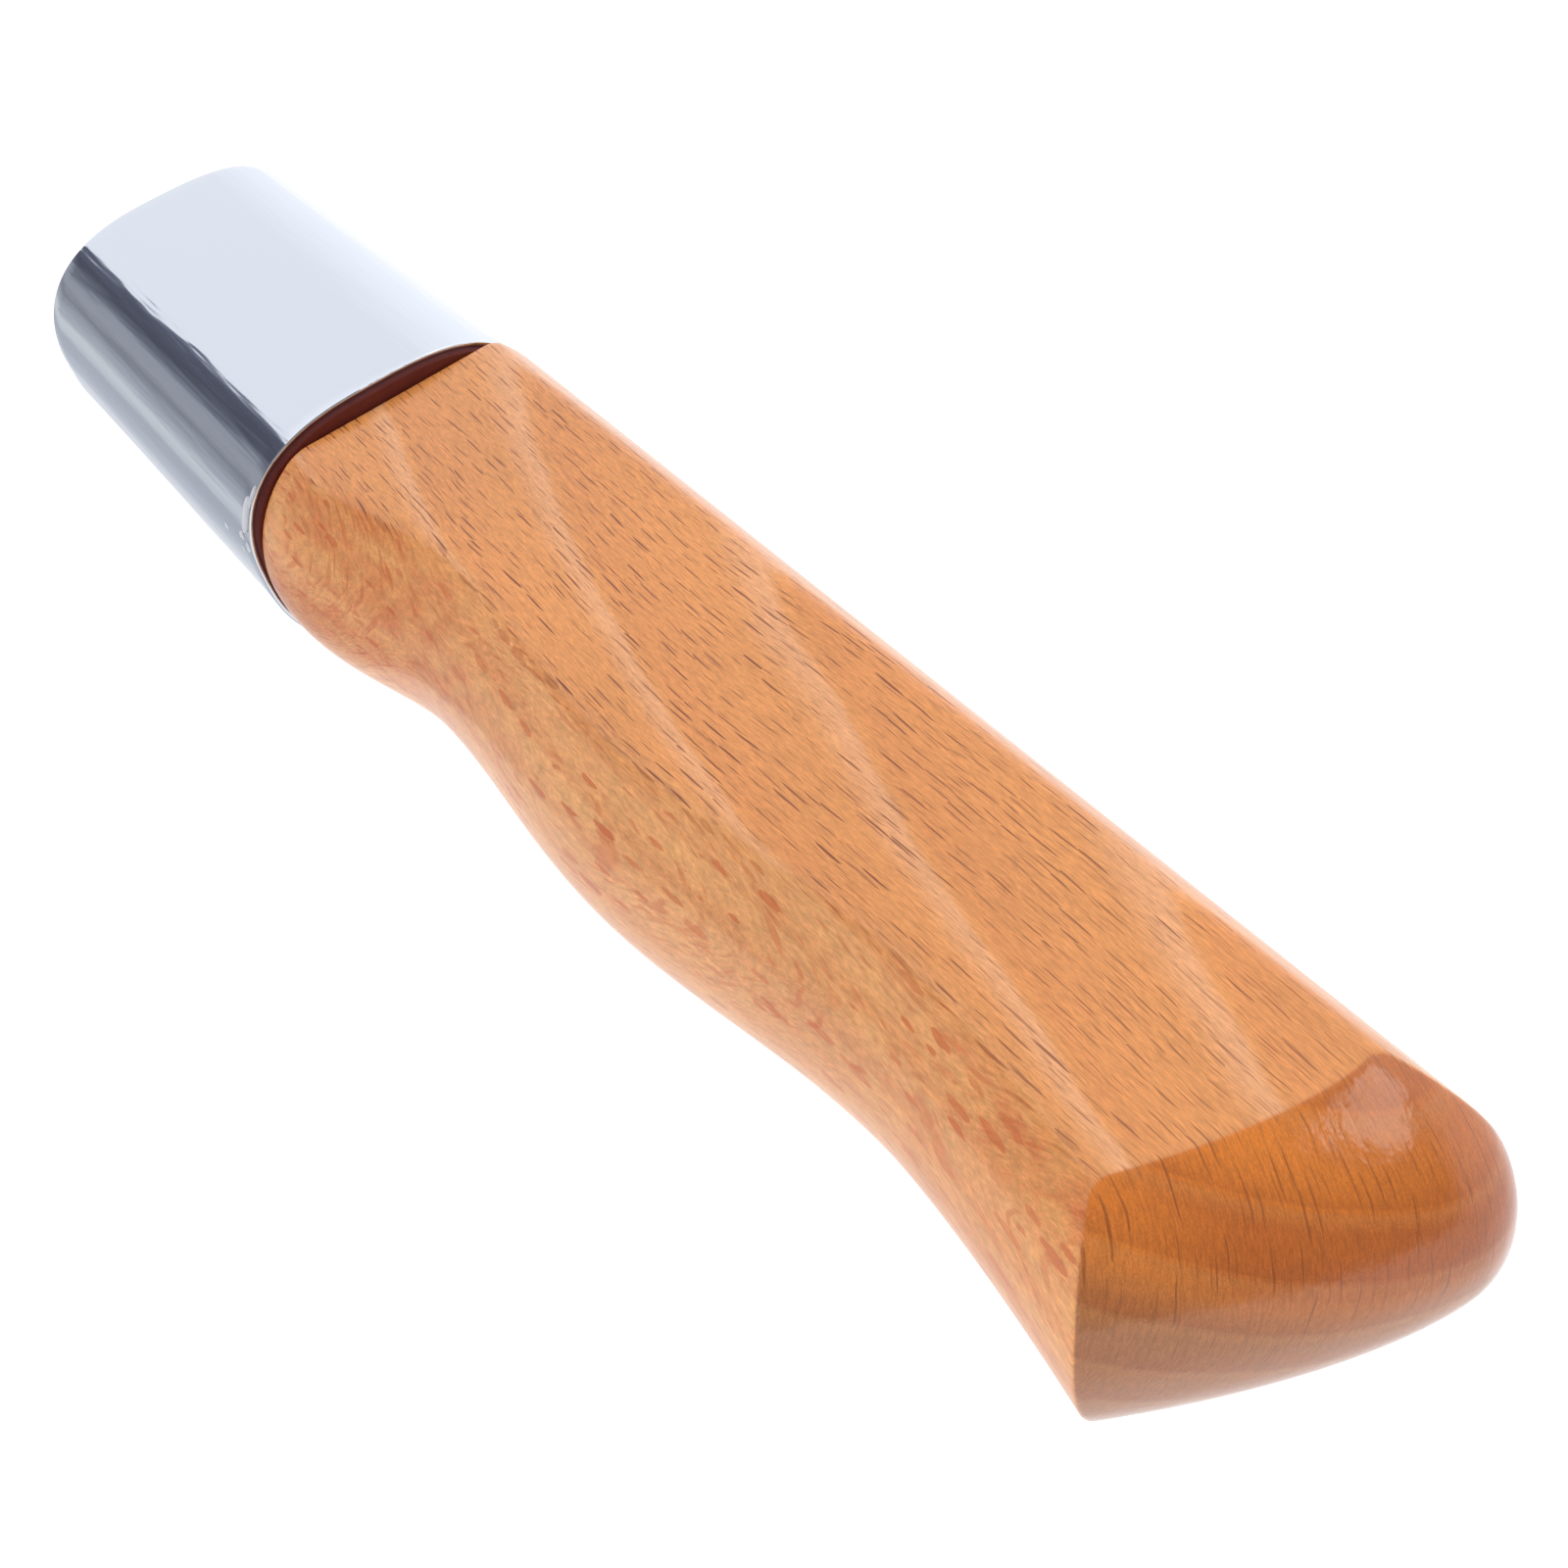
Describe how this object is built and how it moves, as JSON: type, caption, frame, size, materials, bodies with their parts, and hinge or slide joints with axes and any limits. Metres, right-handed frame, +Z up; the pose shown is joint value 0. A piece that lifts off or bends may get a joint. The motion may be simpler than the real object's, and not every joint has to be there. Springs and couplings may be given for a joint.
{
  "type": "replacement tool handle",
  "caption": "Shaped beech handle with finger grooves, a beaked butt and a chrome-plated ferrule round a blind tang hole.",
  "frame": {"origin": "centre of the tang hole's mouth, on the tenon's front end", "axes": "+X out of the tang hole, towards the tool; +Y towards the finger (belly) side; +Z up off one broad face"},
  "size_m": [0.1765, 0.0342, 0.0264],
  "materials": {
    "beech": "semi-gloss clear lacquer",
    "chrome_plate": "bright plated",
    "dark_resin": "cured, satin"
  },
  "bodies": {
    "root": {"grip": "beech", "ferrule": "chrome_plate", "bedding_resin": "dark_resin"}
  },
  "joints": []
}
